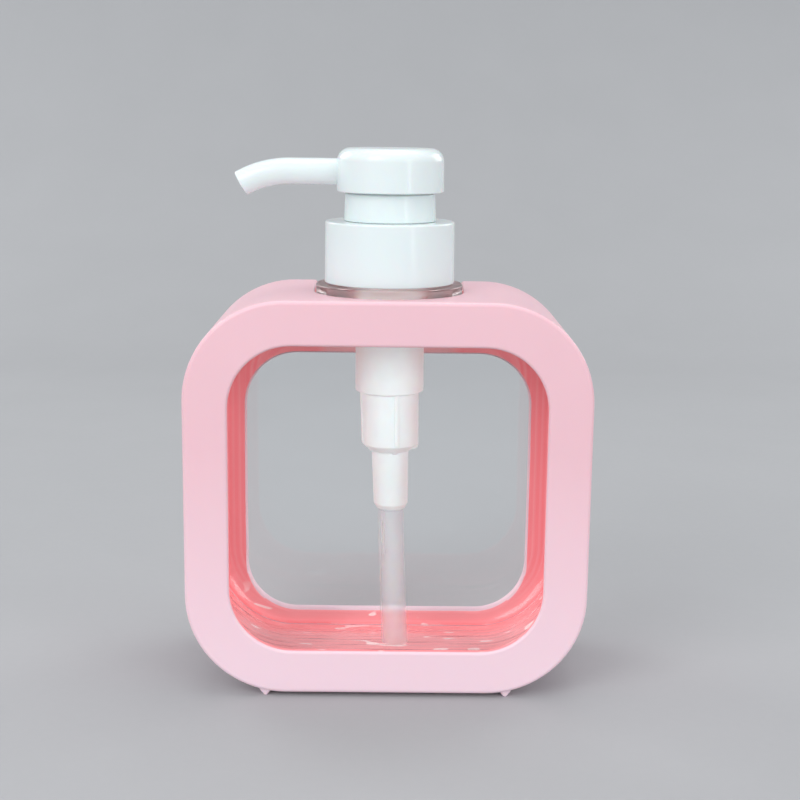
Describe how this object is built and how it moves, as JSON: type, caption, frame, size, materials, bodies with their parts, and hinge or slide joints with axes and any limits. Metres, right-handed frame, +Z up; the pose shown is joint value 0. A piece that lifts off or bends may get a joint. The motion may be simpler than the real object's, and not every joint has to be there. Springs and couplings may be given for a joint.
{
  "type": "soap pump dispenser",
  "caption": "Square clear bottle in a two-piece rounded frame with a screw-on lotion pump, bent spout, turning head that rises on a spring, and dip tube.",
  "frame": {"origin": "centre of the bounding box at the level of the feet, on the pump's axis", "axes": "+Z up along the pump's axis, -Y towards the front window ring, -X along the spout"},
  "size_m": [0.118, 0.0552, 0.1602],
  "materials": {
    "pink_plastic": "satin moulded pink",
    "clear_plastic": "clear, glossy",
    "white_plastic": "glossy cool white",
    "translucent_plastic": "milky translucent",
    "tube_plastic": "milky extruded tube",
    "piston_plastic": "soft white",
    "foam": "white foamed sheet",
    "steel_ball": "polished",
    "spring_steel": "drawn wire"
  },
  "bodies": {
    "base": {"front_shell": "pink_plastic", "rear_ring": "pink_plastic", "bottle": "clear_plastic"},
    "pump": {"pump_housing": "translucent_plastic", "neck_gasket": "foam", "lock_ring": "white_plastic", "dip_tube": "tube_plastic", "ball_cage": "white_plastic", "return_spring": "spring_steel"},
    "cap": {"closure": "white_plastic"},
    "inlet_valve": {"inlet_ball": "steel_ball"},
    "plunger": {"piston": "piston_plastic"},
    "head": {"pump_head": "white_plastic", "stem": "white_plastic"},
    "outlet_valve": {"outlet_ball": "steel_ball"}
  },
  "joints": [
    {"name": "pump_unscrew_lift", "type": "slide", "parent": "base", "child": "pump", "axis": [0, 0, 1], "range_m": [0, 0.00634]},
    {"name": "closure_turn", "type": "hinge", "parent": "pump", "child": "cap", "pos_m": [0, 0, 0.13], "axis": [0, 0, 1], "range_deg": [0, 540]},
    {"name": "head_raise", "type": "slide", "parent": "pump", "child": "plunger", "axis": [0, 0, 1], "range_m": [0, 0.018], "deforming": ["return_spring"]},
    {"name": "head_turn", "type": "hinge", "parent": "plunger", "child": "head", "pos_m": [0, 0, 0.15], "axis": [0, 0, 1], "continuous": true},
    {"name": "inlet_ball_lift", "type": "slide", "parent": "pump", "child": "inlet_valve", "axis": [0, 0, 1], "range_m": [0, 0.0014]},
    {"name": "outlet_ball_lift", "type": "slide", "parent": "head", "child": "outlet_valve", "axis": [0, 0, 1], "range_m": [0, 0.0012]}
  ],
  "couplings": [
    {"joint": "closure_turn", "follows": "pump_unscrew_lift", "rad_per_m": 1485.4}
  ]
}
